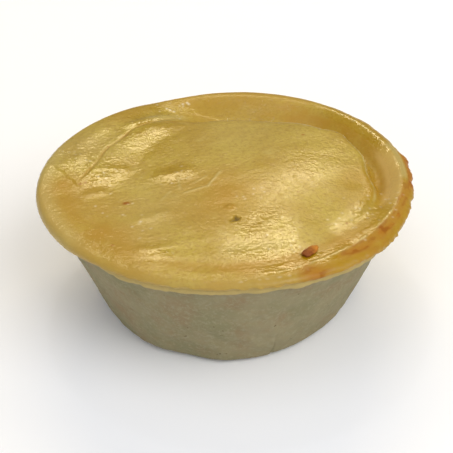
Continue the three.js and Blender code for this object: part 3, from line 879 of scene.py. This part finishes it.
# Dark strokes in the browned rim, dashes along the back edge, flecks and pinholes, and painted shade
# darkening the crease
FLECKS = [((-28.3, -14.2), 0.5), ((-27.5, -14.1), 0.4), ((-41.5, -4.0), 0.3), ((-40.3, -3.2), 0.25)]
PINHOLE_COUNT = 9
PINHOLE_SEED = 53
PINHOLE_REACH = 36
PINHOLE_SIZES = (0.15, 0.28)
SPECK_DARKNESS = 1.1
BURNT_STROKES = [(1.7, 1.0, 56), (0.9, 0.6, 57)]
BURNT_STROKES_RANGE = (-0.1, 1.1)
BURNT_DASHES = [(4, 1.0, 60)]
BURNT_DASHES_RANGE = (0.0, 1.2)
BURNT_BACK_EDGE = 0.5
# The crease's dark line is painted shade
BURNT_CREASE_SHADE = 0.4


def burnt_and_shade_share(points, radius, angle):
    draws = np.random.default_rng(PINHOLE_SEED)
    specks = list(FLECKS)
    for _ in range(PINHOLE_COUNT):
        specks.append((draws.uniform(-PINHOLE_REACH, PINHOLE_REACH, 2), draws.uniform(*PINHOLE_SIZES)))
    burnt_and_shade = sum(bump(points[:, 0], points[:, 1], spot, size, SPECK_DARKNESS) for spot, size in specks)
    strokes = ease(relief(unrolled(radius, angle), BURNT_STROKES), *BURNT_STROKES_RANGE)
    dashes = ease(relief(points, BURNT_DASHES), *BURNT_DASHES_RANGE)
    burnt_and_shade = burnt_and_shade + strokes * browned_share(points, radius, angle)
    burnt_and_shade = burnt_and_shade + BURNT_BACK_EDGE * dashes * back_edge(radius, angle)
    return burnt_and_shade + BURNT_CREASE_SHADE * crease_depth(radius, angle)


# Where the glaze is thin or stretched: patches, film lines and the hem; and painted highlights on the
# streaks, on the left rim, on the right crest and on the beads
PALE_PATCHES = [
    ((-21, -16), 7, 0.25),
    ((-22, -28), 5, 0.2),
    ((13, 12), 12, 0.1),
    ((3, 21), 9, 0.2),
    ((-42, 16), 8, 0.4),
]
# Painted highlights: at the crease's upper end, along the foot at the front right and on the front slope
PAINTED_HIGHLIGHT_STREAKS = [
    ((-18, 34.5), 25, 16, 2.0, 0.5),
    ((33, -25.5), 43, 24, 1.5, 0.25),
    ((7, -38), 8, 24, 2.0, 0.4),
]
# Painted highlights: two bands on the rolled left rim and one on the right crest
PAINTED_HIGHLIGHT_BANDS = [
    ((49, 52), (165, 280, 12), 0.25),
    ((47, 50), (175, 215, 15), 0.25),
    ((49.3, 50, 51, 51.6), (-4, 14, 5), 0.7),
]
PALE_FILM_LINES = 7
PAINTED_BEAD_HIGHLIGHT = 0.7
PALE_HEM_HEIGHTS = (34.6, 35.7)
PALE_HEM_RADII = (49, 50)


def pale_and_highlight_share(points, radius, angle):
    x, y, z = points.T
    pale_and_highlight = bumps(x, y, PALE_PATCHES) + streaks(x, y, PAINTED_HIGHLIGHT_STREAKS) + rim_bands(radius, angle, PAINTED_HIGHLIGHT_BANDS)
    # Film lines of thin glaze, and a painted highlight on the beads
    pale_and_highlight = pale_and_highlight + PALE_FILM_LINES * streaks(x, y, FILM_LINES) + PAINTED_BEAD_HIGHLIGHT * glaze_beads(radius, angle)
    return pale_and_highlight + (1 - ease(z, *PALE_HEM_HEIGHTS)) * ease(radius, *PALE_HEM_RADII)


# The inner slope of the right rim, lightened by a painted reflection of light from the dome
PAINTED_REFLECTION_BANDS = [((44, 46.2, 49, 50), (-16, 8, 12), 0.55)]

# How smooth the glaze dried: shiny on folds and slopes, dull in the groove, the crease and on the left rim
GLOSS = 0.45
GLOSSY_PATCHES = [
    ((11, -12), 7, 0.3),
    ((23, -4), 7, 0.38),
    ((-25, 19), 6, 0.55),
    ((-45, 6), 9, 0.25),
    ((-34, 1), 5, 0.3),
    ((-15, -3), 5, 0.5),
    ((11.5, -34), 7, 0.8),
    ((-19, -40), 4, 0.6),
    ((-19, 40.5), 3, 0.4),
    ((-24, 32), 5, 0.3),
]
DULL_PATCHES = [
    ((22, -34), 3, 0.75),
    ((-12, 42), 4, 0.45),
    ((34, -10), 4, 0.4),
    ((26, -24), 6, 0.7),
    ((0, -13), 7, 0.45),
    ((-9, -37), 5, 0.3),
    ((-29, -28), 8, 0.3),
    ((-49, -4), 4, 0.5),
    ((12, -2), 5, 0.4),
    ((-18, -10), 6, 0.25),
]
GLOSSY_STREAKS = [((33, -25.5), 43, 24, 3.0, 0.9), ((7, -38), 8, 24, 2.5, 0.4)]
GLOSSY_BANDS = [((46, 48, 50, 51), (285, 400, 15), 0.6), ((38.5, 39.5, 42, 44), (-20, 12, 6), 0.3)]
DULL_BANDS = [((27, 32), (60, 105, 15), 0.25), ((43, 46), (195, 275, 15), 0.25)]
DULL_BACK_EDGE = 0.5
DULL_CREASE = 2


def gloss_share(points, radius, angle):
    x, y = points[:, 0], points[:, 1]
    glossy = bumps(x, y, GLOSSY_PATCHES) + streaks(x, y, GLOSSY_STREAKS)
    glossy = glossy + rim_bands(radius, angle, GLOSSY_BANDS)
    dull = bumps(x, y, DULL_PATCHES) + rim_bands(radius, angle, DULL_BANDS)
    dull = dull + DULL_BACK_EDGE * back_edge(radius, angle) + DULL_CREASE * crease_depth(radius, angle)
    return GLOSS + glossy - dull


# Painted highlights: white glints on the beads at the back left, a broken highlight line on the front rim and
# clusters of painted sparkles
GLINT_LINE = (274, 291, 4)
GLINT_LINE_RADIUS = 51.7
GLINT_LINE_WIDTH = 0.3
GLINT_LINE_SHARE = 0.3
GLINT_LINE_BROKEN = [(1.6, 1.0, 58), (6, 0.5, 59)]
GLINT_LINE_BROKEN_RANGE = (0.0, 1.5)
BEAD_GLINT_SPREAD = 0.25
BEAD_GLINT = 0.8
SPARKLES = [
    (-31, -17),
    (-24, -24),
    (-14, -4),
    (-35, 0),
    (-44, 10),
    (43, -13),
    (38, -20),
    (-14, 41),
    (8, -16),
    (14, -36),
    (36, -22),
    (31, -27),
]
SPARKLE_SEED = 61
SPARKLES_EACH = 8
SPARKLES_SCATTER = 3
SPARKLE_SPREAD = 0.2
SPARKLE_GLINTS = (0.2, 0.6)


def painted_glint_share(points, radius, angle):
    x, y = points[:, 0], points[:, 1]
    broken = ease(relief(points, GLINT_LINE_BROKEN), *GLINT_LINE_BROKEN_RANGE)
    line = along(angle, *GLINT_LINE) * near(radius, GLINT_LINE_RADIUS, GLINT_LINE_WIDTH)
    painted_glint = GLINT_LINE_SHARE * broken * line
    painted_glint = painted_glint + sum(bump(x, y, bead, BEAD_GLINT_SPREAD, BEAD_GLINT) for bead in BEADS)
    draws = np.random.default_rng(SPARKLE_SEED)
    for middle in SPARKLES:
        for offset in draws.normal(0, SPARKLES_SCATTER, (SPARKLES_EACH, 2)):
            painted_glint = painted_glint + bump(x, y, middle + offset, SPARKLE_SPREAD, draws.uniform(*SPARKLE_GLINTS))
    return painted_glint


def make_lid():
    rings = lid_rings()
    points = np.concatenate(rings)
    radius = np.hypot(points[:, 0], points[:, 1])
    angle = np.degrees(np.arctan2(points[:, 1], points[:, 0])) % 360
    # Some masks carry painted light: shade in the amber and burnt ones, highlights in the pale and glint
    # ones, a reflection in the honey one
    masks = {
        "amber_and_shade": amber_and_shade_share(points, radius, angle),
        "browned": browned_share(points, radius, angle),
        "burnt_and_shade": burnt_and_shade_share(points, radius, angle),
        "pale_and_highlight": pale_and_highlight_share(points, radius, angle),
        "painted_reflection": rim_bands(radius, angle, PAINTED_REFLECTION_BANDS),
        "gloss": gloss_share(points, radius, angle),
        "painted_glint": painted_glint_share(points, radius, angle),
        "torn": tear_share(points[:, 0], points[:, 1]),
    }
    masks = {name: np.clip(share, 0, 1) for name, share in masks.items()}
    return make_piece("pastry_lid_skin", rings, glazed_pastry(), masks)


lid = make_lid()
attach(lid, "root")
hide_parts("pastry_lid")

# The crumb: a chip of dark crust that fell on the front of the lid and baked on. It is a flattened, lumpy
# flake, sunk a little into the glaze.
CRUMB = (20.6, -40.4)
CRUMB_SIZE = (6.2, 2.6, 1.6)
CRUMB_HEADING = 46
CRUMB_SUNK = 0.3
CRUMB_POINTS = 48
CRUMB_RINGS = 25
CRUMB_FULLNESS = 0.95
CRUMB_LUMPS = [(1.6, 0.08, 41), (0.6, 0.04, 42)]
CRUMB_TAPER = 0.7
CRUMB_LIGHTER_END = (-0.2, 0.35)


def burnt_crust():
    """Dark baked crust: red-brown, lighter towards one end, with a slight glaze."""
    material, tree, shader = new_material("burnt_crust")
    clouds = window(tree, noise(tree, size=1.2, detail=5), 0.3, 0.7, -0.3, 0.3)
    lumps = arithmetic(tree, "ADD", mask_value(tree, "lighter_end"), clouds)
    crust = blend_colours(tree, lumps, colour(130, 68, 13), colour(190, 124, 40))
    tree.links.new(crust, shader.inputs["Base Color"])
    tree.links.new(add_bump(tree, noise(tree, size=0.6, detail=5), depth=0.1), shader.inputs["Normal"])
    set_inputs(shader, {"Roughness": 0.6, "Specular IOR Level": 0.3})
    return material


def make_crumb():
    """A lumpy ball, slimmer at one end, pressed flat, turned and set into the lid."""
    angle = np.arange(CRUMB_POINTS) * 360 / CRUMB_POINTS
    rings = []
    for turn in np.radians(np.linspace(90, -90, CRUMB_RINGS)):
        at_tip = abs(math.cos(turn)) < 1e-6
        ring = place(math.cos(turn) / 2, ON_AXIS if at_tip else angle, math.sin(turn) / 2)
        lumpy = CRUMB_FULLNESS + relief(ring * 3, CRUMB_LUMPS)
        slim = 1 - CRUMB_TAPER * ring[:, :1] * np.array([0, 1, 1])
        rings.append(ring * lumpy[:, None] * slim * CRUMB_SIZE)
    length = CRUMB_SIZE[0]
    lighter_end = ease(np.concatenate(rings)[:, 0], CRUMB_LIGHTER_END[0] * length, CRUMB_LIGHTER_END[1] * length)
    piece = make_piece("burnt_crumb", rings, burnt_crust(), {"lighter_end": lighter_end})
    spot = np.array([CRUMB])
    radius = np.hypot(spot[:, 0], spot[:, 1])
    base = lid_top(radius, np.degrees(np.arctan2(spot[:, 1], spot[:, 0])) % 360)[0]
    lift = base + CRUMB_SIZE[2] * (0.5 - CRUMB_SUNK)
    turned = Matrix.Rotation(math.radians(CRUMB_HEADING), 4, "Z")
    piece.data.transform(Matrix.Translation(Vector((CRUMB[0], CRUMB[1], lift)) * MM) @ turned)
    return piece


crumb = make_crumb()
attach(crumb, "root")
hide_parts("pastry_lid")

# The floor: a plain pale sheet under the pie, wide enough to fill the frame. It takes the soft shadow and
# isn't part of the pie.
FLOOR_SIZE = 6.0


def make_floor():
    material, tree, shader = new_material("pale_floor")
    tint = blend_colours(tree, noise(tree, size=300, detail=2), colour(245, 247, 253), colour(248, 250, 255))
    tree.links.new(tint, shader.inputs["Base Color"])
    set_inputs(shader, {"Roughness": 0.9, "Specular IOR Level": 0.1})
    half = FLOOR_SIZE / 2
    mesh = bpy.data.meshes.new("floor")
    corners = [(-half, -half, 0), (half, -half, 0), (half, half, 0), (-half, half, 0)]
    mesh.from_pydata(corners, [], [(0, 1, 2, 3)])
    mesh.materials.append(material)
    floor = bpy.data.objects.new("floor", mesh)
    bpy.context.scene.collection.objects.link(floor)
    return floor


make_floor()

# The light: a soft sky all round, a broad warm panel above and behind that draws the highlights on the
# glaze with a small lamp over it for the sparkle, a weak panel overhead, and one at the front right that
# lightens the case.
SKY_FRONT = 0.92
SKY_BACK = 0.2
SKY_FADE = (-0.9, 0.8)
AIM = Vector((0, 0, 20 * MM))
WARM = (1.0, 0.82, 0.5)
NEUTRAL = (1.0, 0.98, 0.94)
COOL = (0.95, 0.98, 1.0)


def sky():
    """Bright at the front and above, dimmer behind, so that the glaze keeps its depth of colour."""
    world = bpy.data.worlds.new("studio_sky")
    world.use_nodes = True
    tree = world.node_tree
    where = tree.nodes.new("ShaderNodeTexCoord")
    parts = tree.nodes.new("ShaderNodeSeparateXYZ")
    tree.links.new(where.outputs["Generated"], parts.inputs["Vector"])
    strength = window(tree, parts.outputs["Y"], *SKY_FADE, SKY_FRONT, SKY_BACK)
    tree.links.new(strength, tree.nodes["Background"].inputs["Strength"])
    set_inputs(tree.nodes["Background"], {"Color": (1, 1, 1, 1)})
    bpy.context.scene.world = world


def soft_panel(name, azimuth, elevation, distance, size, watts, tint):
    """A panel of light that faces the pie from a direction. Its distance and size are in metres."""
    lamp = bpy.data.lights.new(name, "AREA")
    lamp.shape = "RECTANGLE"
    lamp.size, lamp.size_y = size
    lamp.energy = watts
    lamp.color = tint
    turn, rise = math.radians(azimuth), math.radians(elevation)
    way = Vector((math.cos(rise) * math.cos(turn), math.cos(rise) * math.sin(turn), math.sin(rise)))
    panel = bpy.data.objects.new(name, lamp)
    panel.location = AIM + way * distance
    panel.rotation_euler = way.to_track_quat("Z", "Y").to_euler()
    bpy.context.scene.collection.objects.link(panel)


sky()
soft_panel("back_panel", azimuth=86, elevation=46, distance=0.9, size=(0.62, 0.12), watts=3.1, tint=WARM)
soft_panel("small_lamp", azimuth=100, elevation=66, distance=1.0, size=(0.05, 0.05), watts=0.3, tint=COOL)
soft_panel("top_panel", azimuth=200, elevation=80, distance=1.0, size=(0.5, 0.5), watts=0.8, tint=NEUTRAL)
soft_panel("front_panel", azimuth=-40, elevation=45, distance=1.0, size=(0.7, 0.7), watts=4.4, tint=NEUTRAL)

# The camera: at the photograph's height and distance, looking down on the front of the pie, with its slight
# tilt to one side.
CAMERA_DISTANCE = 300
CAMERA_RISE = 34.2
CAMERA_ROLL = 1.84
CAMERA_LENS = 80.3
CAMERA_SENSOR = 36
CAMERA_NEAREST = 0.01
CAMERA_OFFSET = (-0.5, -0.62)


def make_camera():
    rise, roll = math.radians(CAMERA_RISE), math.radians(CAMERA_ROLL)
    back = Vector((0, -math.cos(rise), math.sin(rise)))
    level_up = Vector((0, math.sin(rise), math.cos(rise)))
    level_right = Vector((1, 0, 0))
    right = math.cos(roll) * level_right - math.sin(roll) * level_up
    up = math.sin(roll) * level_right + math.cos(roll) * level_up
    spot = AIM + back * CAMERA_DISTANCE * MM + (right * CAMERA_OFFSET[0] + up * CAMERA_OFFSET[1]) * MM
    camera = bpy.data.objects.new("camera", bpy.data.cameras.new("camera"))
    camera.data.lens = CAMERA_LENS
    camera.data.sensor_width = CAMERA_SENSOR
    camera.data.clip_start = CAMERA_NEAREST
    camera.matrix_world = Matrix.Translation(spot) @ Matrix((right, up, back)).transposed().to_4x4()
    bpy.context.scene.collection.objects.link(camera)
    bpy.context.scene.camera = camera


make_camera()
bpy.context.scene.view_settings.view_transform = "Standard"
